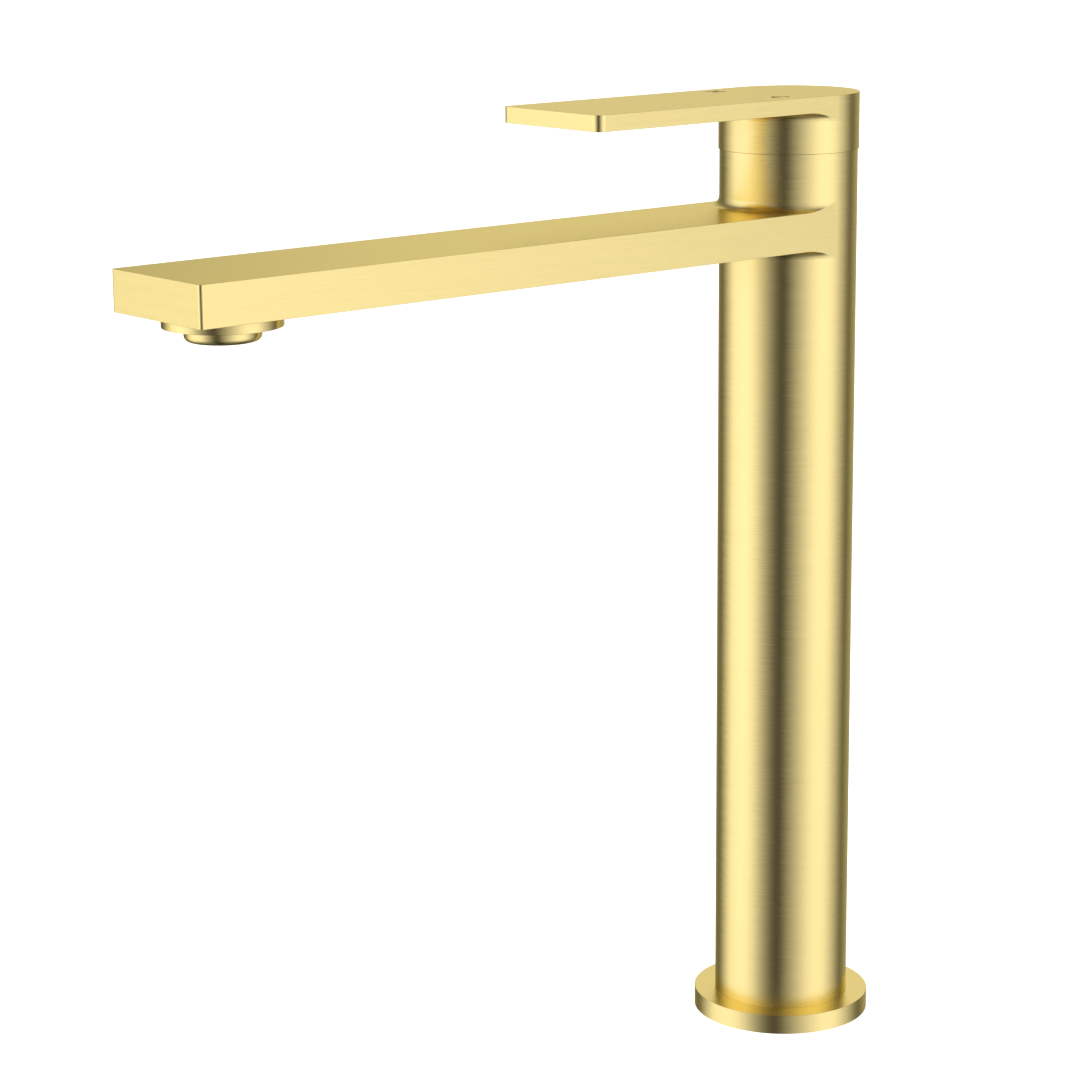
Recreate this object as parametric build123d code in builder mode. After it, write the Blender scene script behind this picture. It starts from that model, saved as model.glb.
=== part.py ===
from build123d import *
import os

# Tall single-lever basin mixer, in millimetres. +Z is up and the origin is the centre of the
# base where it meets the deck. The spout points to -Y, hot is on -X and cold is on +X.

# ---- Driving dimensions: outside ----
COLUMN_R = 22.5
NECK_TOP = 295.15
NECK_INNER_TOP = 296.6
TOTAL_HEIGHT = 313.6
FLANGE_R = 29.6
FLANGE_H = 6.5
SPOUT_REACH = 245.4
SPOUT_BOTTOM = 264.45
SPOUT_H = 12.45
SPOUT_CORNER_R = 1.2
ARM_COVE_R = 3.0
EDGE_BREAK = 0.1
CAP_R = 22.85
CAP_BOTTOM = 295.3
LEVER_REACH = 101.7
LEVER_THICKNESS = 5.1
LEVER_CORNER_R = 2.8
AERATOR_Y = -223.1
HOLDER_R = 17.5
HOLDER_H = 3.7
NOZZLE_R = 11.2
NOZZLE_LENGTH = 4.2
NOZZLE_CORNER_R = 1.8

# ---- Driving dimensions: inside ----
WALL = 2.5
COLUMN_BORE_R = 20.5
# SLIP is the gap between pieces that stay put, RUNNING_FIT between pieces that move.
SLIP = 0.05
RUNNING_FIT = 0.1
OVERLAP = 1.0
BLOCK_LIP_R = 26.0
BLOCK_LIP_H = 3.5
BLOCK_TOP = 24.0
STUD_THREAD_R = 3.4
STUD_DEPTH = 16.0
HOSE_THREAD_R = 4.5
HOSE_DEPTH = 12.0
PORT_X = 10.5
WATERWAY_R = 3.0
TUBE_R = 4.0
TUBE_INSERTION = 10.0
TUBE_RING_R = 0.85
TUBE_RING_SEAT_R = 5.8
TUBE_RING_SEAT_H = 1.8
TUBE_BEAD_H = 1.2
HOUSING_BOTTOM = 240.0
HOUSING_TOP = 289.0
HOUSING_FLANGE_H = 3.0
NECK_BORE_R = 21.2
CARTRIDGE_R = 17.5
CARTRIDGE_BOTTOM = 260.0
CARTRIDGE_SHOULDER = 286.0
CARTRIDGE_TOP = 289.5
CARTRIDGE_BORE_R = 16.0
DISC_PLANE = 268.4
PIVOT_Z = 279.0
TURRET_R = 12.0
TURRET_TOP = 291.0
STEM_W = 8.0
STEM_TOP = 311.2
BALL_Z = 273.9
BALL_R = 2.0
PIN_R = 1.5
PIN_HALF_L = 11.5
PRESS_FIT = 0.02
SPIGOT_R = 12.5

# ---- Worked-out heights and radii ----
SPOUT_TOP = SPOUT_BOTTOM + SPOUT_H
LEVER_BOTTOM = TOTAL_HEIGHT - LEVER_THICKNESS
HOLDER_BOTTOM = SPOUT_BOTTOM - HOLDER_H
NOZZLE_BOTTOM = HOLDER_BOTTOM - NOZZLE_LENGTH
HOUSING_SEAT = HOUSING_TOP - HOUSING_FLANGE_H
CHANNEL_BOTTOM = SPOUT_BOTTOM + WALL
CHANNEL_TOP = SPOUT_TOP - WALL
TUBE_LOW = BLOCK_TOP - TUBE_INSERTION
TUBE_HIGH = HOUSING_BOTTOM + TUBE_INSERTION
LOW_RING_SEAT = BLOCK_TOP - TUBE_RING_SEAT_H
HIGH_RING_SEAT = HOUSING_BOTTOM + TUBE_RING_SEAT_H
MIN_Z = (Align.CENTER, Align.CENTER, Align.MIN)


# ---- Shared shapes ----
def turned(*points, centre_y=0.0, mode=Mode.ADD):
    """Turns (radius, height) points about the vertical axis through (0, centre_y)."""
    section = Plane((0, centre_y, 0), x_dir=(0, 1, 0), z_dir=(1, 0, 0))
    with BuildSketch(section) as profile:
        Polygon(*points)
    revolve(profile.sketch, axis=Axis((0, centre_y, 0), (0, 0, 1)), mode=mode)


def round_bar(radius, bottom, top, x=0.0, y=0.0, mode=Mode.ADD):
    """An upright round bar between two heights, or a round hole with Mode.SUBTRACT."""
    with Locations((x, y, bottom)):
        Cylinder(radius, top - bottom, align=MIN_Z, mode=mode)


def seal_ring(section_r, ring_r, height, x=0.0, y=0.0):
    """A round-section rubber ring lying flat."""
    with Locations((x, y, height)):
        Torus(ring_r, section_r)


def cove(cylinder_r, face_z, side, plan):
    """The hollow fillet between a cylinder and the flat face of an arm that leaves it.

    side is +1 for a face that looks up and -1 for one that looks down. plan is the arm's
    outline, which trims the ring.
    """
    far = cylinder_r + ARM_COVE_R
    near = cylinder_r - OVERLAP
    crest = face_z + side * ARM_COVE_R
    root = face_z - side * OVERLAP
    with BuildPart() as ring:
        with BuildSketch(Plane.XZ) as profile:
            with BuildLine():
                Polyline((near, crest), (near, root), (far, root), (far, face_z))
                RadiusArc((far, face_z), (cylinder_r, crest), side * ARM_COVE_R)
                Line((cylinder_r, crest), (near, crest))
            make_face()
        revolve(profile.sketch, axis=Axis.Z)
        extrude(plan, amount=TOTAL_HEIGHT, both=True, mode=Mode.INTERSECT)
    return ring.part


def save(piece, name):
    """Labels one finished piece and writes it to its own file."""
    piece.part.label = name
    export_step(piece.part, "parts/" + name + ".step")


os.makedirs("parts", exist_ok=True)

# ---- Column, neck and spout: one brass body ----
with BuildSketch() as spout_plan:
    Circle(COLUMN_R)
    Rectangle(2 * COLUMN_R, SPOUT_REACH, align=(Align.CENTER, Align.MAX))
    fillet(spout_plan.vertices().group_by(Axis.Y)[0], SPOUT_CORNER_R)

with BuildPart() as spout_arm:
    with BuildSketch(Plane.XY.offset(SPOUT_BOTTOM)):
        add(spout_plan.sketch)
    extrude(amount=SPOUT_H)
    fillet(spout_arm.faces().filter_by(Axis.Z).edges(), EDGE_BREAK)

with BuildPart() as spout_body:
    turned(
        (0, BLOCK_LIP_H),
        (COLUMN_R, BLOCK_LIP_H),
        (COLUMN_R, NECK_TOP),
        (NECK_BORE_R, NECK_INNER_TOP),
        (0, NECK_INNER_TOP),
    )
    add(spout_arm.part)
    add(cove(COLUMN_R, SPOUT_TOP, 1, spout_plan.sketch))
    add(cove(COLUMN_R, SPOUT_BOTTOM, -1, spout_plan.sketch))
    round_bar(COLUMN_BORE_R, BLOCK_LIP_H, HOUSING_SEAT, mode=Mode.SUBTRACT)
    round_bar(NECK_BORE_R, HOUSING_SEAT, NECK_INNER_TOP, mode=Mode.SUBTRACT)
    with BuildSketch(Plane.XY.offset(CHANNEL_BOTTOM)):
        Rectangle(2 * (COLUMN_R - WALL), SPOUT_REACH - WALL, align=(Align.CENTER, Align.MAX))
    extrude(amount=CHANNEL_TOP - CHANNEL_BOTTOM, mode=Mode.SUBTRACT)
    round_bar(SPIGOT_R + SLIP, SPOUT_BOTTOM, CHANNEL_BOTTOM, y=AERATOR_Y, mode=Mode.SUBTRACT)
save(spout_body, "spout_body")

# ---- Base: cover flange, threaded block and deck seal ----
with BuildPart() as base_flange:
    turned(
        (BLOCK_LIP_R + 2 * SLIP, 0),
        (FLANGE_R, 0),
        (FLANGE_R, FLANGE_H),
        (COLUMN_R + PRESS_FIT, FLANGE_H),
        (COLUMN_R + PRESS_FIT, BLOCK_LIP_H),
        (BLOCK_LIP_R + 2 * SLIP, BLOCK_LIP_H),
    )
    fillet(base_flange.edges().group_by(Axis.Z)[-1].sort_by(SortBy.RADIUS)[-1], EDGE_BREAK)
save(base_flange, "base_flange")

SEAL_IN_R = 22.4
SEAL_OUT_R = 24.6
SEAL_H = 1.9
with BuildPart() as mounting_block:
    round_bar(BLOCK_LIP_R, 0, BLOCK_LIP_H)
    round_bar(COLUMN_BORE_R - SLIP, BLOCK_LIP_H, BLOCK_TOP)
    turned(
        (SEAL_IN_R - SLIP, 0),
        (SEAL_OUT_R + SLIP, 0),
        (SEAL_OUT_R + SLIP, SEAL_H),
        (SEAL_IN_R - SLIP, SEAL_H),
        mode=Mode.SUBTRACT,
    )
    round_bar(STUD_THREAD_R, 0, STUD_DEPTH, mode=Mode.SUBTRACT)
    for x in (-PORT_X, PORT_X):
        round_bar(HOSE_THREAD_R, 0, HOSE_DEPTH, x=x, mode=Mode.SUBTRACT)
        round_bar(WATERWAY_R, HOSE_DEPTH, BLOCK_TOP, x=x, mode=Mode.SUBTRACT)
        round_bar(TUBE_R + SLIP, TUBE_LOW, BLOCK_TOP, x=x, mode=Mode.SUBTRACT)
        round_bar(TUBE_RING_SEAT_R, LOW_RING_SEAT, BLOCK_TOP, x=x, mode=Mode.SUBTRACT)
save(mounting_block, "mounting_block")

with BuildPart() as deck_seal:
    turned((SEAL_IN_R, 0), (SEAL_OUT_R, 0), (SEAL_OUT_R, SEAL_H), (SEAL_IN_R, SEAL_H))
    fillet(deck_seal.edges().group_by(Axis.Z)[0], EDGE_BREAK)
save(deck_seal, "deck_seal")

# ---- Inlet tubes: each stands in the block and the housing, with a bead on each rim ----
for name, x in (("hot_inlet_tube", -PORT_X), ("cold_inlet_tube", PORT_X)):
    with BuildPart() as inlet_tube:
        round_bar(TUBE_R, TUBE_LOW, TUBE_HIGH, x=x)
        round_bar(TUBE_RING_SEAT_R, BLOCK_TOP, BLOCK_TOP + TUBE_BEAD_H, x=x)
        round_bar(TUBE_RING_SEAT_R, HOUSING_BOTTOM - TUBE_BEAD_H, HOUSING_BOTTOM, x=x)
        round_bar(WATERWAY_R, TUBE_LOW, TUBE_HIGH, x=x, mode=Mode.SUBTRACT)
    save(inlet_tube, name)

TUBE_RING_MIDDLE = (TUBE_R + TUBE_RING_SEAT_R) / 2
with BuildPart() as inlet_tube_o_rings:
    for x in (-PORT_X, PORT_X):
        for z in (BLOCK_TOP - TUBE_RING_SEAT_H / 2, HOUSING_BOTTOM + TUBE_RING_SEAT_H / 2):
            seal_ring(TUBE_RING_R, TUBE_RING_MIDDLE, z, x=x)
save(inlet_tube_o_rings, "inlet_tube_o_rings")

# ---- Valve housing: a cup for the cartridge, with a waist that feeds the spout ----
HOUSING_R = COLUMN_BORE_R - SLIP
WAIST_R = 19.0
WAIST_LOW = 249.0
WAIST_HIGH = 275.5
WAIST_LOW_SLOPE = 2.0
WAIST_HIGH_SLOPE = 1.5
GROOVE_R = 18.6
GROOVE_H = 2.4
RING_GROOVES = (242.0, 279.5)
NUT_R = 19.0
NUT_RELIEF = 2.0
OUTLET_R = 3.5
OUTLET_Z = 253.5
SIDE_OUTLET_R = 3.0
PEG_R = 1.5
PEG_Y = 13.0
PEG_L = 3.0
PEG_HOLE_L = 3.2
with BuildPart() as valve_housing:
    turned(
        (0, HOUSING_BOTTOM),
        (HOUSING_R, HOUSING_BOTTOM),
        (HOUSING_R, WAIST_LOW - WAIST_LOW_SLOPE),
        (WAIST_R, WAIST_LOW),
        (WAIST_R, WAIST_HIGH),
        (HOUSING_R, WAIST_HIGH + WAIST_HIGH_SLOPE),
        (HOUSING_R, HOUSING_SEAT),
        (NECK_BORE_R - SLIP, HOUSING_SEAT),
        (NECK_BORE_R - SLIP, HOUSING_TOP),
        (0, HOUSING_TOP),
    )
    for z in RING_GROOVES:
        turned(
            (GROOVE_R, z),
            (COLUMN_R, z),
            (COLUMN_R, z + GROOVE_H),
            (GROOVE_R, z + GROOVE_H),
            mode=Mode.SUBTRACT,
        )
    round_bar(CARTRIDGE_R + RUNNING_FIT, CARTRIDGE_BOTTOM, HOUSING_TOP, mode=Mode.SUBTRACT)
    round_bar(NUT_R, CARTRIDGE_SHOULDER - NUT_RELIEF, HOUSING_TOP, mode=Mode.SUBTRACT)
    for x in (-PORT_X, PORT_X):
        round_bar(WATERWAY_R, HOUSING_BOTTOM, CARTRIDGE_BOTTOM, x=x, mode=Mode.SUBTRACT)
        round_bar(TUBE_R + SLIP, HOUSING_BOTTOM, TUBE_HIGH, x=x, mode=Mode.SUBTRACT)
        round_bar(TUBE_RING_SEAT_R, HOUSING_BOTTOM, HIGH_RING_SEAT, x=x, mode=Mode.SUBTRACT)
    for y in (-PEG_Y, PEG_Y):
        peg_hole_end = CARTRIDGE_BOTTOM - PEG_HOLE_L
        round_bar(PEG_R + SLIP, peg_hole_end, CARTRIDGE_BOTTOM, y=y, mode=Mode.SUBTRACT)
    round_bar(OUTLET_R, OUTLET_Z - OUTLET_R, CARTRIDGE_BOTTOM, mode=Mode.SUBTRACT)
    with BuildSketch(Plane.XZ):
        with Locations((0, OUTLET_Z)):
            Circle(SIDE_OUTLET_R)
    extrude(amount=COLUMN_R, mode=Mode.SUBTRACT)
save(valve_housing, "valve_housing")

HOUSING_RING_R = 0.9
with BuildPart() as valve_housing_o_rings:
    for z in RING_GROOVES:
        seal_ring(HOUSING_RING_R, HOUSING_R - HOUSING_RING_R, z + GROOVE_H / 2)
save(valve_housing_o_rings, "valve_housing_o_rings")

# ---- Cartridge: shell, base, seals, ceramic discs, carrier and turret ----
TURRET_FLANGE_R = 14.0
TURRET_BOTTOM = 276.0
SHELL_NECK_R = 13.8
SHELL_CEILING = 278.2
with BuildPart() as cartridge_shell:
    round_bar(CARTRIDGE_R, CARTRIDGE_BOTTOM, CARTRIDGE_SHOULDER)
    round_bar(SHELL_NECK_R, CARTRIDGE_SHOULDER, CARTRIDGE_TOP)
    round_bar(CARTRIDGE_BORE_R, CARTRIDGE_BOTTOM, SHELL_CEILING, mode=Mode.SUBTRACT)
    round_bar(TURRET_R + RUNNING_FIT, SHELL_CEILING, CARTRIDGE_TOP, mode=Mode.SUBTRACT)
save(cartridge_shell, "cartridge_shell")

BASE_TOP = 265.0
BASE_RIM = 267.4
CHAMBER_BOTTOM = 262.5
INLET_TOP = 263.0
INLET_R = 2.8
DISC_R = 14.5
PORT_R = 8.9
PORT_W = 3.0
PORT_START = 20
PORT_SWEEP = 35
CHAMBER_SWEEP = 70
SEAL_SEAT_TOP = 261.5
PORT_SEAL_R = 4.55
with BuildPart() as cartridge_base:
    round_bar(CARTRIDGE_BORE_R - SLIP, CARTRIDGE_BOTTOM, BASE_RIM)
    round_bar(DISC_R + SLIP, BASE_TOP, BASE_RIM, mode=Mode.SUBTRACT)
    for y in (-PEG_Y, PEG_Y):
        round_bar(PEG_R, CARTRIDGE_BOTTOM - PEG_L, CARTRIDGE_BOTTOM, y=y)
    # Each inlet rises into a curved chamber that leads round to its disc port.
    for side in (-1, 1):
        round_bar(INLET_R, CARTRIDGE_BOTTOM, INLET_TOP, x=side * PORT_X, mode=Mode.SUBTRACT)
        with BuildSketch(Plane.XY.offset(CHAMBER_BOTTOM)):
            start = -90 + side * PORT_START
            SlotArc(CenterArc((0, 0), PORT_R, start, side * CHAMBER_SWEEP), PORT_W)
        extrude(amount=BASE_TOP - CHAMBER_BOTTOM, mode=Mode.SUBTRACT)
    round_bar(OUTLET_R, CARTRIDGE_BOTTOM, BASE_TOP, mode=Mode.SUBTRACT)
    for x in (-PORT_X, 0, PORT_X):
        round_bar(PORT_SEAL_R + SLIP, CARTRIDGE_BOTTOM, SEAL_SEAT_TOP, x=x, mode=Mode.SUBTRACT)
save(cartridge_base, "cartridge_base")

with BuildPart() as cartridge_seals:
    for x in (-PORT_X, 0, PORT_X):
        round_bar(PORT_SEAL_R, CARTRIDGE_BOTTOM, SEAL_SEAT_TOP, x=x)
        round_bar(OUTLET_R, CARTRIDGE_BOTTOM, SEAL_SEAT_TOP, x=x, mode=Mode.SUBTRACT)
save(cartridge_seals, "cartridge_seals")

with BuildPart() as fixed_disc:
    round_bar(DISC_R, BASE_TOP, DISC_PLANE)
    round_bar(OUTLET_R, BASE_TOP, DISC_PLANE, mode=Mode.SUBTRACT)
    with BuildSketch(Plane.XY.offset(BASE_TOP)):
        for side in (-1, 1):
            start = -90 + side * PORT_START
            SlotArc(CenterArc((0, 0), PORT_R, start, side * PORT_SWEEP), PORT_W)
    extrude(amount=DISC_PLANE - BASE_TOP, mode=Mode.SUBTRACT)
save(fixed_disc, "fixed_disc")

MOVING_DISC_R = 13.2
MOVING_DISC_BOTTOM = DISC_PLANE + SLIP
CARRIER_BOTTOM = 271.8
CARRIER_TOP = 275.5
MIXING_POCKET_R = 7.0
MIXING_POCKET_TOP = 270.25
with BuildPart() as moving_disc:
    round_bar(MOVING_DISC_R, MOVING_DISC_BOTTOM, CARRIER_BOTTOM)
    round_bar(MIXING_POCKET_R, MOVING_DISC_BOTTOM, MIXING_POCKET_TOP, mode=Mode.SUBTRACT)
save(moving_disc, "moving_disc")

RAIL_X = 9.0
RAIL_W = 2.0
RAIL_L = 14.0
RAIL_H = 2.0
BALL_SOCKET_R = 2.15
with BuildPart() as disc_carrier:
    round_bar(MOVING_DISC_R, CARRIER_BOTTOM, CARRIER_TOP)
    round_bar(BALL_SOCKET_R, CARRIER_BOTTOM, CARRIER_TOP, mode=Mode.SUBTRACT)
    with BuildSketch(Plane.XY.offset(CARRIER_TOP)):
        with Locations((-RAIL_X, 0), (RAIL_X, 0)):
            Rectangle(RAIL_W + 2 * RUNNING_FIT, 2 * MOVING_DISC_R)
    extrude(amount=-RAIL_H, mode=Mode.SUBTRACT)
save(disc_carrier, "disc_carrier")

SLOT_FRONT = -4.2
SLOT_BACK = 8.9
TURRET_FLANGE_TOP = 278.05
with BuildPart() as turret:
    round_bar(TURRET_FLANGE_R, TURRET_BOTTOM, TURRET_FLANGE_TOP)
    round_bar(TURRET_R, TURRET_BOTTOM, TURRET_TOP)
    with BuildSketch(Plane.XY.offset(TURRET_BOTTOM)):
        with Locations((-RAIL_X, 0), (RAIL_X, 0)):
            Rectangle(RAIL_W, RAIL_L)
    extrude(amount=CARRIER_TOP - RAIL_H + RUNNING_FIT - TURRET_BOTTOM)
    with BuildSketch(Plane.XY.offset(TURRET_BOTTOM)):
        with Locations((0, SLOT_FRONT)):
            slot_l = SLOT_BACK - SLOT_FRONT
            Rectangle(STEM_W + 2 * RUNNING_FIT, slot_l, align=(Align.CENTER, Align.MIN))
    extrude(amount=TURRET_TOP - TURRET_BOTTOM, mode=Mode.SUBTRACT)
    with BuildSketch(Plane.YZ):
        with Locations((0, PIVOT_Z)):
            Circle(PIN_R + PRESS_FIT)
    extrude(amount=TURRET_R, both=True, mode=Mode.SUBTRACT)
save(turret, "turret")

with BuildPart() as pivot_pin:
    with BuildSketch(Plane.YZ):
        with Locations((0, PIVOT_Z)):
            Circle(PIN_R)
    extrude(amount=PIN_HALF_L, both=True)
save(pivot_pin, "pivot_pin")

PIVOT_BLOCK_HALF = 2.8
PIVOT_BLOCK_BOTTOM = 277.0
SQUARE_BOTTOM = 281.0
STEM_NECK_R = 1.4
STEM_BEVEL = 0.5
with BuildPart() as lever_stem:
    with BuildSketch(Plane.XY.offset(SQUARE_BOTTOM)):
        Rectangle(STEM_W, STEM_W)
    extrude(amount=STEM_TOP - SQUARE_BOTTOM)
    chamfer(lever_stem.faces().sort_by(Axis.Z)[-1].edges(), STEM_BEVEL)
    with BuildSketch(Plane.XY.offset(PIVOT_BLOCK_BOTTOM)):
        Rectangle(STEM_W, 2 * PIVOT_BLOCK_HALF)
    extrude(amount=SQUARE_BOTTOM - PIVOT_BLOCK_BOTTOM)
    round_bar(STEM_NECK_R, BALL_Z, PIVOT_BLOCK_BOTTOM)
    with Locations((0, 0, BALL_Z)):
        Sphere(BALL_R)
    with BuildSketch(Plane.YZ):
        with Locations((0, PIVOT_Z)):
            Circle(PIN_R + SLIP)
    extrude(amount=STEM_W, both=True, mode=Mode.SUBTRACT)
save(lever_stem, "lever_stem")

# ---- Nut over the cartridge and cover ring in the neck ----
NUT_THREAD_TOP = 289.2
NUT_TOP = 292.0
NUT_ACROSS_FLATS = 33.0
NUT_BORE_R = 14.0
with BuildPart() as retaining_nut:
    round_bar(NUT_R - SLIP, CARTRIDGE_SHOULDER, NUT_THREAD_TOP)
    with BuildSketch(Plane.XY.offset(NUT_THREAD_TOP)):
        RegularPolygon(NUT_ACROSS_FLATS / 2, 6, major_radius=False)
    extrude(amount=NUT_TOP - NUT_THREAD_TOP)
    round_bar(NUT_BORE_R, CARTRIDGE_SHOULDER, NUT_TOP, mode=Mode.SUBTRACT)
save(retaining_nut, "retaining_nut")

RING_BORE_R = 12.8
RING_EDGE_TOP = 296.0
RING_BORE_TOP = 298.3
RING_WALL = 1.15
with BuildPart() as dome_ring:
    turned(
        (NECK_BORE_R - SLIP, HOUSING_TOP),
        (NECK_BORE_R - SLIP, RING_EDGE_TOP),
        (RING_BORE_R, RING_BORE_TOP),
        (RING_BORE_R, RING_BORE_TOP - RING_WALL),
        (NECK_BORE_R - SLIP - RING_WALL, RING_EDGE_TOP - RING_WALL),
        (NECK_BORE_R - SLIP - RING_WALL, HOUSING_TOP),
    )
save(dome_ring, "dome_ring")

# ---- Lever: cap and plate in one piece, its grub screw and the screw's plug ----
CAP_CEILING = 309.4
CAP_CAVITY_R = 21.0
CAP_INNER_BOTTOM = 297.4
HUB_R = 8.5
HUB_BOTTOM = 303.0
SCREW_Z = 306.0
SCREW_R = 2.5
MARK_DEPTH = 0.2
MARK_X = 15.0
MARK_Y = -18.5
MARK_H = 6.0
MARK_W = 4.2
MARK_STROKE = 1.0

with BuildSketch() as lever_plan:
    Circle(CAP_R)
    Rectangle(2 * CAP_R, LEVER_REACH, align=(Align.CENTER, Align.MAX))
    fillet(lever_plan.vertices().group_by(Axis.Y)[0], LEVER_CORNER_R)

with BuildPart() as lever_plate:
    with BuildSketch(Plane.XY.offset(LEVER_BOTTOM)):
        add(lever_plan.sketch)
    extrude(amount=LEVER_THICKNESS)
    fillet(lever_plate.faces().filter_by(Axis.Z).edges(), EDGE_BREAK)

with BuildPart() as lever_handle:
    turned(
        (0, CAP_INNER_BOTTOM),
        (CAP_CAVITY_R, CAP_INNER_BOTTOM),
        (COLUMN_R, CAP_BOTTOM),
        (CAP_R, CAP_BOTTOM),
        (CAP_R, LEVER_BOTTOM + OVERLAP),
        (0, LEVER_BOTTOM + OVERLAP),
    )
    add(lever_plate.part)
    add(cove(CAP_R, LEVER_BOTTOM, -1, lever_plan.sketch))
    with BuildSketch(Plane.XY.offset(CAP_BOTTOM)):
        Circle(CAP_CAVITY_R)
        Circle(HUB_R, mode=Mode.SUBTRACT)
    extrude(amount=CAP_CEILING - CAP_BOTTOM, mode=Mode.SUBTRACT)
    round_bar(CAP_CAVITY_R, CAP_BOTTOM, HUB_BOTTOM, mode=Mode.SUBTRACT)
    with BuildSketch(Plane.XY.offset(HUB_BOTTOM)):
        Rectangle(STEM_W + 2 * SLIP, STEM_W + 2 * SLIP)
    extrude(amount=STEM_TOP + SLIP - HUB_BOTTOM, mode=Mode.SUBTRACT)
    with BuildSketch(Plane.XZ):
        with Locations((0, SCREW_Z)):
            Circle(SCREW_R + SLIP)
    extrude(amount=-CAP_R - OVERLAP, mode=Mode.SUBTRACT)
    # Engraved marks: H on the hot side, C on the cold side.
    with BuildSketch(Plane.XY.offset(TOTAL_HEIGHT - MARK_DEPTH)):
        stem_x = (MARK_W - MARK_STROKE) / 2
        with Locations((-MARK_X, MARK_Y)):
            Rectangle(2 * stem_x, MARK_STROKE)
        with Locations((-MARK_X - stem_x, MARK_Y), (-MARK_X + stem_x, MARK_Y)):
            Rectangle(MARK_STROKE, MARK_H)
        with Locations((MARK_X, MARK_Y)):
            SlotArc(CenterArc((0, 0), (MARK_H - MARK_STROKE) / 2, 45, 270), MARK_STROKE)
    extrude(amount=MARK_DEPTH, mode=Mode.SUBTRACT)
save(lever_handle, "lever_handle")

SCREW_BACK = 8.4
HEX_KEY = 2.5
HEX_DEPTH = 2.2
PLUG_PROUD = 0.1
PLUG_BEVEL = 0.2
with BuildPart() as handle_set_screw:
    with BuildSketch(Plane.XZ.offset(-STEM_W / 2)):
        with Locations((0, SCREW_Z)):
            Circle(SCREW_R)
    extrude(amount=-(SCREW_BACK - STEM_W / 2))
    with BuildSketch(Plane.XZ.offset(-SCREW_BACK)):
        with Locations((0, SCREW_Z)):
            RegularPolygon(HEX_KEY / 2, 6, major_radius=False)
    extrude(amount=HEX_DEPTH, mode=Mode.SUBTRACT)
save(handle_set_screw, "handle_set_screw")

with BuildPart() as set_screw_plug:
    with BuildSketch(Plane.XZ.offset(-CAP_CAVITY_R)):
        with Locations((0, SCREW_Z)):
            Circle(SCREW_R)
    extrude(amount=-(CAP_R + PLUG_PROUD - CAP_CAVITY_R))
    chamfer(set_screw_plug.faces().sort_by(Axis.Y)[-1].edges(), PLUG_BEVEL)
save(set_screw_plug, "set_screw_plug")

# ---- Aerator under the spout's end ----
SPIGOT_TOP = 270.0
SPIGOT_BORE_R = 7.5
GASKET_BORE_R = 7.8
SHELL_THREAD_R = 9.75
AERATOR_SHELL_TOP = 267.5
INSERT_R = 8.6
LIP_R = 7.6
LIP_H = 1.5
LIP_TOP = NOZZLE_BOTTOM + LIP_H
GASKET_H = 1.2
with BuildPart() as aerator_holder:
    turned(
        (SHELL_THREAD_R + SLIP, HOLDER_BOTTOM),
        (HOLDER_R, HOLDER_BOTTOM),
        (HOLDER_R, SPOUT_BOTTOM),
        (SPIGOT_R, SPOUT_BOTTOM),
        (SPIGOT_R, SPIGOT_TOP),
        (SPIGOT_BORE_R, SPIGOT_TOP),
        (SPIGOT_BORE_R, AERATOR_SHELL_TOP + GASKET_H),
        (SHELL_THREAD_R + SLIP, AERATOR_SHELL_TOP + GASKET_H),
        centre_y=AERATOR_Y,
    )
    fillet(aerator_holder.edges().group_by(Axis.Z)[0].sort_by(SortBy.RADIUS)[-1], EDGE_BREAK)
save(aerator_holder, "aerator_holder")

with BuildPart() as aerator_shell:
    turned(
        (LIP_R, NOZZLE_BOTTOM),
        (NOZZLE_R, NOZZLE_BOTTOM),
        (NOZZLE_R, HOLDER_BOTTOM),
        (SHELL_THREAD_R, HOLDER_BOTTOM),
        (SHELL_THREAD_R, AERATOR_SHELL_TOP),
        (INSERT_R, AERATOR_SHELL_TOP),
        (INSERT_R, LIP_TOP),
        (LIP_R, LIP_TOP),
        centre_y=AERATOR_Y,
    )
    rim = aerator_shell.edges().group_by(Axis.Z)[0].sort_by(SortBy.RADIUS)[-1]
    fillet(rim, NOZZLE_CORNER_R)
save(aerator_shell, "aerator_shell")

with BuildPart() as aerator_gasket:
    gasket_top = AERATOR_SHELL_TOP + GASKET_H
    round_bar(SHELL_THREAD_R - SLIP, AERATOR_SHELL_TOP, gasket_top, y=AERATOR_Y)
    round_bar(GASKET_BORE_R, AERATOR_SHELL_TOP, gasket_top, y=AERATOR_Y, mode=Mode.SUBTRACT)
save(aerator_gasket, "aerator_gasket")

INSERT_WALL = 0.9
INSERT_FLOOR = 1.2
INSERT_HOLE_R = 0.8
INSERT_HOLE_PITCH = 1.0
REGULATOR_H = 2.0
REGULATOR_RING_R = 4.5
REGULATOR_HOLE_R = 1.0
SCREEN_H = 0.4
SCREEN_PITCH = 1.6
SCREEN_HOLE_W = 1.1
INSERT_TOP = AERATOR_SHELL_TOP - SCREEN_H
with BuildPart() as aerator_insert:
    round_bar(INSERT_R - SLIP, LIP_TOP, INSERT_TOP, y=AERATOR_Y)
    floor_top = LIP_TOP + INSERT_FLOOR
    round_bar(INSERT_R - INSERT_WALL, floor_top, INSERT_TOP, y=AERATOR_Y, mode=Mode.SUBTRACT)
    with BuildSketch(Plane.XY.offset(LIP_TOP)):
        with Locations((0, AERATOR_Y)):
            with HexLocations(INSERT_HOLE_PITCH, 7, 7):
                RegularPolygon(INSERT_HOLE_R, 6, major_radius=False, rotation=30)
    extrude(amount=INSERT_FLOOR, mode=Mode.SUBTRACT)
save(aerator_insert, "aerator_insert")

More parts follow.
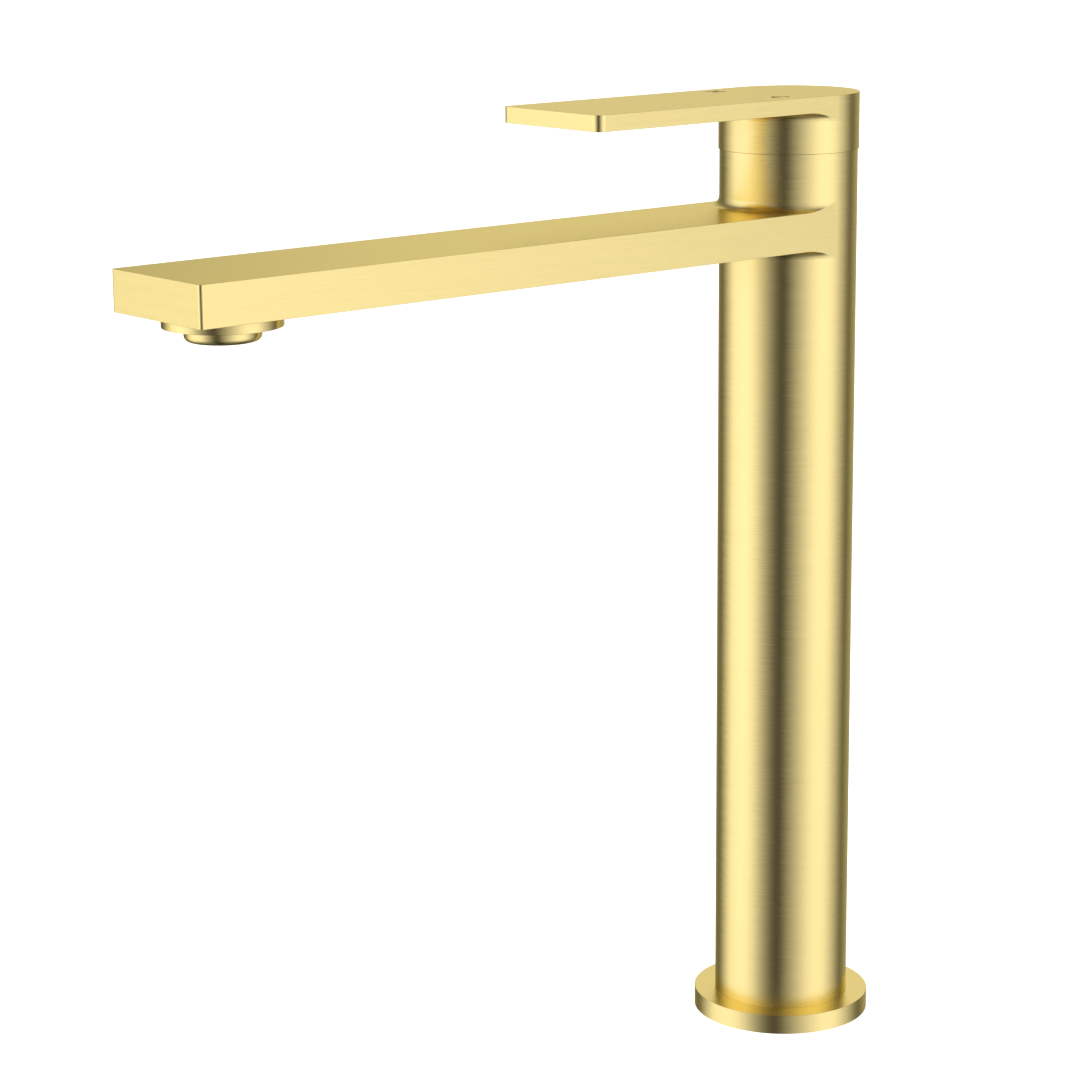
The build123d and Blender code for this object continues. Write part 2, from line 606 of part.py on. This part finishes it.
with BuildPart() as flow_regulator:
    round_bar(INSERT_R - INSERT_WALL - SLIP, INSERT_TOP - REGULATOR_H, INSERT_TOP, y=AERATOR_Y)
    with BuildSketch(Plane.XY.offset(INSERT_TOP - REGULATOR_H)):
        with Locations((0, AERATOR_Y)):
            with PolarLocations(REGULATOR_RING_R, 8):
                Circle(REGULATOR_HOLE_R)
    extrude(amount=REGULATOR_H, mode=Mode.SUBTRACT)
save(flow_regulator, "flow_regulator")

with BuildPart() as aerator_screen:
    round_bar(INSERT_R - SLIP, INSERT_TOP, AERATOR_SHELL_TOP, y=AERATOR_Y)
    with BuildSketch(Plane.XY.offset(INSERT_TOP)):
        with Locations((0, AERATOR_Y)):
            with GridLocations(SCREEN_PITCH, SCREEN_PITCH, 7, 7):
                Rectangle(SCREEN_HOLE_W, SCREEN_HOLE_W)
    extrude(amount=SCREEN_H, mode=Mode.SUBTRACT)
save(aerator_screen, "aerator_screen")
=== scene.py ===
import math

import bmesh
import bpy
from mathutils import Matrix, Vector


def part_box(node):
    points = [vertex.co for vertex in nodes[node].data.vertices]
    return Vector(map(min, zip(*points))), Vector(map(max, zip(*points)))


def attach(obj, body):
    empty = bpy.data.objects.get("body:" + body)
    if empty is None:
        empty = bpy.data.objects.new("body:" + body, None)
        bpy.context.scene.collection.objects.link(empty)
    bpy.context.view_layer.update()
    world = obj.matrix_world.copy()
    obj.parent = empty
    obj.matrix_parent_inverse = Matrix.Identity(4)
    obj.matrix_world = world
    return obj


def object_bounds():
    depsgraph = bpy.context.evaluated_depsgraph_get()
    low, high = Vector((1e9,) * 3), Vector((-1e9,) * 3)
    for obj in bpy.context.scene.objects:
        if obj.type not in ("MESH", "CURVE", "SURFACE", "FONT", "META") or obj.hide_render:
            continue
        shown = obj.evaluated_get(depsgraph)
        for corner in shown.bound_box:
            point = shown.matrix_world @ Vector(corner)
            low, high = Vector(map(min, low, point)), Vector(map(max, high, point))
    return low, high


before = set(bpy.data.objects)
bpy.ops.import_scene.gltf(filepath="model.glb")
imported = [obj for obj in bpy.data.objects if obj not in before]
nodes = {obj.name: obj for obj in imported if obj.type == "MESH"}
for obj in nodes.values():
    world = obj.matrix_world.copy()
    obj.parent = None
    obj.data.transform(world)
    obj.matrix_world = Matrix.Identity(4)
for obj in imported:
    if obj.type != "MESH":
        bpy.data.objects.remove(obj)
cad_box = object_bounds()

# ---- Driving values, in metres and degrees ----
MM = 0.001
# The camera's azimuth is measured from the front (-Y) round towards +X.
CAMERA_PLACE = Vector((0.730212, -0.715922, 0.398913))
CAMERA_AZIMUTH = 50.161
CAMERA_ELEVATION = 12.930
CAMERA_ROLL = -0.462
CAMERA_LENS = 104.131
SENSOR = 36.0

COLUMN_CENTRE = Vector((0.0, 0.0, 0.0))
AERATOR_CENTRE = (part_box("aerator_shell")[0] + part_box("aerator_shell")[1]) / 2


# ---- Node and material helpers ----
def add_node(tree, kind, inputs=None, **settings):
    """A shader node with its settings, and its inputs set to values or linked to sockets."""
    made = tree.nodes.new(kind)
    for name, value in settings.items():
        setattr(made, name, value)
    for key, value in (inputs or {}).items():
        if isinstance(value, bpy.types.NodeSocket):
            tree.links.new(value, made.inputs[key])
        else:
            made.inputs[key].default_value = value
    return made


def maths(tree, operation, *values, clamp=False):
    """The result socket of a Math node."""
    return add_node(
        tree, "ShaderNodeMath", dict(enumerate(values)), operation=operation, use_clamp=clamp
    ).outputs[0]


def vector_maths(tree, operation, *values):
    """The vector result of a Vector Math node."""
    return add_node(
        tree, "ShaderNodeVectorMath", dict(enumerate(values)), operation=operation
    ).outputs[0]


def new_material(name):
    """An empty node material with its output, and its tree."""
    material = bpy.data.materials.new(name)
    material.use_nodes = True
    material.node_tree.nodes.clear()
    return material, material.node_tree


def finish_material(tree, shader):
    """Links a shader to a new material output."""
    tree.links.new(shader.outputs[0], add_node(tree, "ShaderNodeOutputMaterial").inputs[0])


def noise(tree, vector, scale, detail=2.0, roughness=0.5):
    """A noise texture's value, about 0 to 1."""
    inputs = {"Vector": vector, "Scale": scale, "Detail": detail, "Roughness": roughness}
    return add_node(tree, "ShaderNodeTexNoise", inputs).outputs[0]


# A noise value is seldom outside this middle range.
NOISE_LOW = 0.3
NOISE_HIGH = 0.7


def spread(tree, value, low, high):
    """Maps a noise value's busy middle to low..high."""
    inputs = {
        "Value": value,
        "From Min": NOISE_LOW,
        "From Max": NOISE_HIGH,
        "To Min": low,
        "To Max": high,
    }
    return add_node(tree, "ShaderNodeMapRange", inputs).outputs[0]


def spread_about(tree, value, middle, half_width):
    """Maps a noise value's busy middle to either side of a middle value."""
    return spread(tree, value, middle - half_width, middle + half_width)


def scaled(tree, vector, factor):
    """A vector or colour times a factor."""
    return add_node(
        tree, "ShaderNodeVectorMath", {0: vector, "Scale": factor}, operation="SCALE"
    ).outputs[0]


# ---- Brushed gold ----
GOLD = (0.95, 0.777, 0.345)
GOLD_EDGE = (1.0, 0.92, 0.52, 1.0)
ROUGHNESS = 0.28
ANISOTROPY = 0.7
# Streak scales are noise cells per metre: across the brush lines, and along them.
STREAK_FINE = 2600.0
STREAK_BROAD = 500.0
STREAK_LENGTH = 110.0
WEAR_SCALE = 9.0
# How far the streaks lean the surface, and how far they and the wear change its roughness.
STREAK_TILT = 0.011
BROAD_TILT = 0.003
STREAK_ROUGHNESS = 0.01
WEAR_ROUGHNESS = 0.015
# The direction across the brush lines: up on upright faces, and X where a face is level.
ACROSS_BRUSH = (0.02, 0.0, 1.0)
LEVEL_FROM = 0.7


def streak_coordinates(tree, round_about):
    """Coordinates in which an even noise becomes brush lines.

    Upright faces are brushed level. Level faces are brushed lengthwise, along Y, or in rings
    where round_about gives the centre to turn about.
    """
    place = add_node(tree, "ShaderNodeTexCoord").outputs["Object"]
    facing = add_node(tree, "ShaderNodeTexCoord").outputs["Normal"]
    upright = vector_maths(tree, "MULTIPLY", place, (STREAK_LENGTH, STREAK_LENGTH, STREAK_FINE))
    if round_about is None:
        level = vector_maths(tree, "MULTIPLY", place, (STREAK_FINE, STREAK_LENGTH, STREAK_LENGTH))
    else:
        flat = vector_maths(tree, "SUBTRACT", place, round_about)
        flat = vector_maths(tree, "MULTIPLY", flat, (1.0, 1.0, 0.0))
        across = add_node(tree, "ShaderNodeVectorMath", {0: flat}, operation="LENGTH").outputs[1]
        ring = maths(tree, "MULTIPLY", across, STREAK_FINE)
        turned = scaled(tree, flat, STREAK_LENGTH)
        level = add_node(tree, "ShaderNodeCombineXYZ", {"Z": ring}).outputs[0]
        level = vector_maths(tree, "ADD", level, turned)
    up = maths(tree, "ABSOLUTE", add_node(tree, "ShaderNodeSeparateXYZ", {0: facing}).outputs[2])
    is_level = maths(tree, "GREATER_THAN", up, LEVEL_FROM)
    mixed = add_node(tree, "ShaderNodeMix", {0: is_level, 4: upright, 5: level}, data_type="VECTOR")
    return mixed.outputs[1]


def brushed_gold(name, round_about=None):
    """Gold-coloured brushed metal: brush lines in colour, roughness and lie."""
    material, tree = new_material(name)
    lines = streak_coordinates(tree, round_about)
    fine = noise(tree, lines, 1.0, 3.0)
    broad = noise(tree, lines, STREAK_BROAD / STREAK_FINE, 2.0)
    place = add_node(tree, "ShaderNodeTexCoord").outputs["Object"]
    wear = noise(tree, place, WEAR_SCALE, 3.0)

    shade = maths(
        tree, "MULTIPLY", spread(tree, fine, 0.993, 1.006), spread(tree, broad, 0.994, 1.005)
    )
    shade = maths(tree, "MULTIPLY", shade, spread(tree, wear, 0.99, 1.008))
    colour = scaled(tree, GOLD, shade)
    rough = maths(
        tree,
        "ADD",
        spread_about(tree, fine, ROUGHNESS, STREAK_ROUGHNESS),
        spread_about(tree, wear, 0.0, WEAR_ROUGHNESS),
    )

    # Each brush line leans the surface a little along its own length.
    surface = add_node(tree, "ShaderNodeNewGeometry").outputs["Normal"]
    along = vector_maths(tree, "CROSS_PRODUCT", ACROSS_BRUSH, surface)
    lean = maths(
        tree,
        "ADD",
        spread_about(tree, fine, 0.0, STREAK_TILT),
        spread_about(tree, broad, 0.0, BROAD_TILT),
    )
    leaning = scaled(tree, along, lean)
    normal = vector_maths(tree, "NORMALIZE", vector_maths(tree, "ADD", surface, leaning))
    tangent = vector_maths(tree, "NORMALIZE", ACROSS_BRUSH)
    shader = add_node(
        tree,
        "ShaderNodeBsdfPrincipled",
        {
            "Base Color": colour,
            "Metallic": 1.0,
            "Roughness": rough,
            "Anisotropic": ANISOTROPY,
            "Specular Tint": GOLD_EDGE,
            "Normal": normal,
            "Tangent": tangent,
        },
    )
    finish_material(tree, shader)
    return material


TURNING_SCALE = 900.0
TURNING_STRETCH = 8.0
STAIN_SCALE = 60.0


def metal(name, colour, roughness):
    """Plain machined metal with faint turning marks."""
    material, tree = new_material(name)
    place = add_node(tree, "ShaderNodeTexCoord").outputs["Object"]
    along = TURNING_SCALE / TURNING_STRETCH
    lines = vector_maths(tree, "MULTIPLY", place, (along, along, TURNING_SCALE))
    marks = noise(tree, lines, 1.0, 3.0)
    stain = noise(tree, place, STAIN_SCALE, 4.0)
    shade = maths(
        tree, "MULTIPLY", spread(tree, marks, 0.92, 1.04), spread(tree, stain, 0.94, 1.03)
    )
    bump = add_node(
        tree, "ShaderNodeBump", {"Height": marks, "Strength": 0.2, "Distance": 0.05 * MM}
    )
    inputs = {
        "Base Color": scaled(tree, colour, shade),
        "Metallic": 1.0,
        "Roughness": spread(tree, marks, roughness - 0.05, roughness + 0.06),
        "Normal": bump.outputs[0],
    }
    finish_material(tree, add_node(tree, "ShaderNodeBsdfPrincipled", inputs))
    return material


GRAIN_SCALE = 2500.0
CLOUD_SCALE = 120.0


def moulded(name, colour, roughness, speckle=0.03, bump_height=0.03, gloss=0.5):
    """Plastic, rubber, ceramic or enamel: an even colour with a fine texture.

    Speckle is the grain's share of the colour, and bump_height is its height in millimetres.
    """
    material, tree = new_material(name)
    place = add_node(tree, "ShaderNodeTexCoord").outputs["Object"]
    grain = noise(tree, place, GRAIN_SCALE, 2.0)
    clouds = noise(tree, place, CLOUD_SCALE, 3.0)
    shade = maths(
        tree, "MULTIPLY", spread_about(tree, grain, 1.0, speckle), spread(tree, clouds, 0.96, 1.03)
    )
    bump = add_node(
        tree, "ShaderNodeBump", {"Height": grain, "Strength": 0.3, "Distance": bump_height * MM}
    )
    inputs = {
        "Base Color": scaled(tree, colour, shade),
        "Roughness": spread_about(tree, clouds, roughness, 0.05),
        "Specular IOR Level": gloss,
        "Normal": bump.outputs[0],
    }
    finish_material(tree, add_node(tree, "ShaderNodeBsdfPrincipled", inputs))
    return material


def dress(material, *names):
    """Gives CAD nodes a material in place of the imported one."""
    for name in names:
        slots = nodes[name].data.materials
        slots.clear()
        slots.append(material)


dress(brushed_gold("brushed_gold"), "spout_body", "lever_handle", "set_screw_plug")
dress(brushed_gold("brushed_gold_base", COLUMN_CENTRE), "base_flange", "dome_ring")
dress(brushed_gold("brushed_gold_aerator", AERATOR_CENTRE), "aerator_holder", "aerator_shell")
dress(
    metal("raw_brass", (0.72, 0.53, 0.25), 0.35),
    "mounting_block", "hot_inlet_tube", "cold_inlet_tube", "valve_housing", "retaining_nut",
)
dress(
    metal("steel", (0.62, 0.62, 0.61), 0.3),
    "pivot_pin", "lever_stem", "handle_set_screw", "aerator_screen",
)
dress(
    moulded("black_rubber", (0.02, 0.02, 0.02), 0.65),
    "deck_seal", "inlet_tube_o_rings", "valve_housing_o_rings", "cartridge_seals", "aerator_gasket",
)
dress(moulded("ceramic", (0.86, 0.85, 0.80), 0.25, 0.01, 0.0), "fixed_disc", "moving_disc")
dress(moulded("white_acetal", (0.78, 0.78, 0.75), 0.45), "cartridge_shell", "cartridge_base")
dress(moulded("dark_acetal", (0.05, 0.055, 0.06), 0.45), "turret", "disc_carrier", "flow_regulator")
dress(moulded("grey_acetal", (0.55, 0.57, 0.58), 0.4), "aerator_insert")


# ---- Dark enamel in the engraved marks ----
MARK_X = 15.0 * MM
MARK_Y = -18.5 * MM
MARK_H = 5.98 * MM
MARK_W = 4.18 * MM
MARK_STROKE = 0.98 * MM
LEVER_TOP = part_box("lever_handle")[1].z
MARK_BOTTOM = LEVER_TOP - 0.2 * MM
MARK_TOP = LEVER_TOP - 0.002 * MM
ARC_START = 45
ARC_SWEEP = 270
ARC_STEPS = 36
ROUND_END = (45, 90, 135)


def raised(mesh, ring):
    """Adds a closed flat-topped prism over one outline of (x, y) points."""
    low = [mesh.verts.new((x, y, MARK_BOTTOM)) for x, y in ring]
    high = [mesh.verts.new((x, y, MARK_TOP)) for x, y in ring]
    mesh.faces.new(reversed(low))
    mesh.faces.new(high)
    for here in range(len(ring)):
        after = (here + 1) % len(ring)
        mesh.faces.new((low[here], low[after], high[after], high[here]))


def hot_mark_outline():
    """The outline of the H, anticlockwise."""
    half_w, half_h, half_s = MARK_W / 2, MARK_H / 2, MARK_STROKE / 2
    inner = half_w - MARK_STROKE
    upright = [(inner, -half_h), (half_w, -half_h), (half_w, half_h), (inner, half_h)]
    right = [(inner, -half_s)] + upright + [(inner, half_s)]
    left = [(-x, -y) for x, y in right]
    return [(x - MARK_X, y + MARK_Y) for x, y in right + left]


def cold_mark_outline():
    """The outline of the C: an arc out and the same arc back, with round ends."""
    middle = (MARK_H - MARK_STROKE) / 2
    half = MARK_STROKE / 2
    turns = [ARC_START + ARC_SWEEP * step / ARC_STEPS for step in range(ARC_STEPS + 1)]
    angles = [math.radians(turn) for turn in turns]
    ring = []
    for way, arc in ((1, angles), (-1, angles[::-1])):
        radius = middle + way * half
        ring += [(radius * math.cos(angle), radius * math.sin(angle)) for angle in arc]
        end_x, end_y = math.cos(arc[-1]), math.sin(arc[-1])
        for bend in map(math.radians, ROUND_END):
            reach = middle + way * half * math.cos(bend)
            past = way * half * math.sin(bend)
            ring.append((reach * end_x - past * end_y, reach * end_y + past * end_x))
    return [(x + MARK_X, y + MARK_Y) for x, y in ring]


def build_mark(name, outline, material):
    """One enamel filling, which rides the lever."""
    built = bmesh.new()
    raised(built, outline)
    bmesh.ops.recalc_face_normals(built, faces=built.faces)
    mesh = bpy.data.meshes.new(name)
    built.to_mesh(mesh)
    built.free()
    mesh.materials.append(material)
    mark = bpy.data.objects.new(name, mesh)
    bpy.context.scene.collection.objects.link(mark)
    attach(mark, "lever")


enamel = moulded("dark_enamel", (0.012, 0.010, 0.007), 0.9, 0.06, 0.01, 0.0)
build_mark("hot_mark", hot_mark_outline(), enamel)
build_mark("cold_mark", cold_mark_outline(), enamel)


# ---- Floor, light and camera ----
FLOOR_SIZE = 12.0
FLOOR_GLOW = 1.2


def build_floor():
    """A wide pale floor that the metal doesn't mirror."""
    material, tree = new_material("floor")
    place = add_node(tree, "ShaderNodeTexCoord").outputs["Object"]
    shade = spread(tree, noise(tree, place, 3.0), 0.88, 0.9)
    white = scaled(tree, (1.0, 1.0, 1.0), shade)
    inputs = {
        "Base Color": white,
        "Roughness": 0.9,
        "Emission Color": white,
        "Emission Strength": FLOOR_GLOW,
    }
    finish_material(tree, add_node(tree, "ShaderNodeBsdfPrincipled", inputs))
    bpy.ops.mesh.primitive_plane_add(size=FLOOR_SIZE, location=(0, 0, cad_box[0].z))
    floor = bpy.context.object
    floor.name = "floor"
    floor.data.materials.append(material)
    floor.visible_glossy = False


# Brightness round the studio, by the angle in degrees from the camera's side. The camera looks
# out from 0, and the backdrop behind the object is at 180.
STUDIO = (
    # Backdrop, falling to the gap on the left.
    (-180, 0.56), (-173, 0.43), (-164, 0.24), (-154, 0.16), (-147, 0.13), (-139, 0.16),
    # Wide soft light on the left.
    (-131, 0.34), (-116, 0.78), (-106, 1.13), (-92, 1.22), (-78, 1.30), (-66, 1.22),
    (-54, 0.97), (-44, 0.63), (-30, 0.285), (-20, 0.115),
    # Narrow gap beside the camera.
    (-11, 0.05), (-5, 0.12),
    # Soft light on the right, brightening slowly.
    (7, 0.37), (22, 0.67), (40, 1.06), (52, 1.22), (64, 1.23), (74, 1.17), (84, 0.93),
    (100, 0.53), (116, 0.18),
    # Gap on the right, rising to the backdrop.
    (124, 0.12), (136, 0.27), (150, 0.38), (164, 0.45), (180, 0.56),
)
# How much of that is left at each height above or below the horizon, in degrees.
STUDIO_HEIGHT = (
    (-90, 0.10), (-50, 0.20), (-34, 0.75), (-22, 1.0), (0, 1.0),
    (14, 1.0), (26, 0.98), (38, 0.8), (55, 0.4), (90, 0.45),
)
# A lit wall behind the object, above the horizon: its reach to either side, and its brightness
# at each height.
WALL = (
    (-180, 0.88), (-172, 0.42), (-160, 0.1), (-140, 0.0),
    (130, 0.0), (155, 1.0), (170, 1.0), (180, 0.88),
)
WALL_HEIGHT = (
    (-90, 0.0), (-6, 0.0), (4, 0.14), (14, 0.22), (24, 0.52), (40, 0.3), (55, 0.0), (90, 0.0),
)
# A colour ramp holds no more than 1, so each curve is stored at this share of its value.
RAMP_SHARE = 0.5
BACKGROUND_GLOW = 1.05


def curve_of(tree, share, points, turn):
    """A brightness curve through (degrees, value) points, where turn is their full span."""
    ramp = add_node(tree, "ShaderNodeValToRGB", {0: share})
    stops = ramp.color_ramp.elements
    for index, (angle, value) in enumerate(points):
        place = angle / turn + 0.5
        stop = stops[index] if index < 2 else stops.new(place)
        stop.position = place
        grey = value * RAMP_SHARE
        stop.color = (grey, grey, grey, 1.0)
    return ramp.outputs[0]


def build_light():
    """A studio all round: each direction's brightness follows its angle about the vertical."""
    world = bpy.data.worlds.new("studio")
    bpy.context.scene.world = world
    world.use_nodes = True
    tree = world.node_tree
    tree.nodes.clear()
    toward = add_node(tree, "ShaderNodeTexCoord").outputs["Generated"]
    x, y, z = add_node(tree, "ShaderNodeSeparateXYZ", {0: toward}).outputs
    turn = maths(tree, "ARCTAN2", x, maths(tree, "MULTIPLY", y, -1.0))
    turn = maths(tree, "SUBTRACT", turn, math.radians(CAMERA_AZIMUTH))
    turn = maths(tree, "WRAP", turn, math.pi, -math.pi)
    share = maths(tree, "ADD", maths(tree, "DIVIDE", turn, 2 * math.pi), 0.5)
    height = maths(tree, "DIVIDE", maths(tree, "ARCSINE", z), math.pi)
    height = maths(tree, "ADD", height, 0.5)
    glows = []
    for around, upward in ((STUDIO, STUDIO_HEIGHT), (WALL, WALL_HEIGHT)):
        by_turn = curve_of(tree, share, around, 360)
        by_height = curve_of(tree, height, upward, 180)
        glows.append(maths(tree, "MULTIPLY", by_turn, by_height))
    glow = maths(tree, "ADD", *glows)
    studio = add_node(
        tree, "ShaderNodeBackground", {"Color": glow, "Strength": 1 / RAMP_SHARE**2}
    )
    white = add_node(
        tree, "ShaderNodeBackground", {"Color": (1, 1, 1, 1), "Strength": BACKGROUND_GLOW}
    )
    seen = add_node(tree, "ShaderNodeLightPath").outputs["Is Camera Ray"]
    mixed = add_node(
        tree, "ShaderNodeMixShader", {0: seen, 1: studio.outputs[0], 2: white.outputs[0]}
    )
    tree.links.new(mixed.outputs[0], add_node(tree, "ShaderNodeOutputWorld").inputs[0])


def build_camera():
    """The camera, with a slight roll."""
    azimuth, elevation = math.radians(CAMERA_AZIMUTH), math.radians(CAMERA_ELEVATION)
    level = math.cos(elevation)
    back = Vector((math.sin(azimuth) * level, -math.cos(azimuth) * level, math.sin(elevation)))
    right = Vector((math.cos(azimuth), math.sin(azimuth), 0.0))
    turn = Matrix((right, back.cross(right), back)).transposed()
    turn = turn @ Matrix.Rotation(math.radians(CAMERA_ROLL), 3, "Z")
    data = bpy.data.cameras.new("camera")
    data.lens = CAMERA_LENS
    data.sensor_width = SENSOR
    camera = bpy.data.objects.new("camera", data)
    camera.matrix_world = Matrix.Translation(CAMERA_PLACE) @ turn.to_4x4()
    bpy.context.scene.collection.objects.link(camera)
    bpy.context.scene.camera = camera


build_floor()
build_light()
build_camera()
bpy.context.scene.view_settings.view_transform = "Standard"
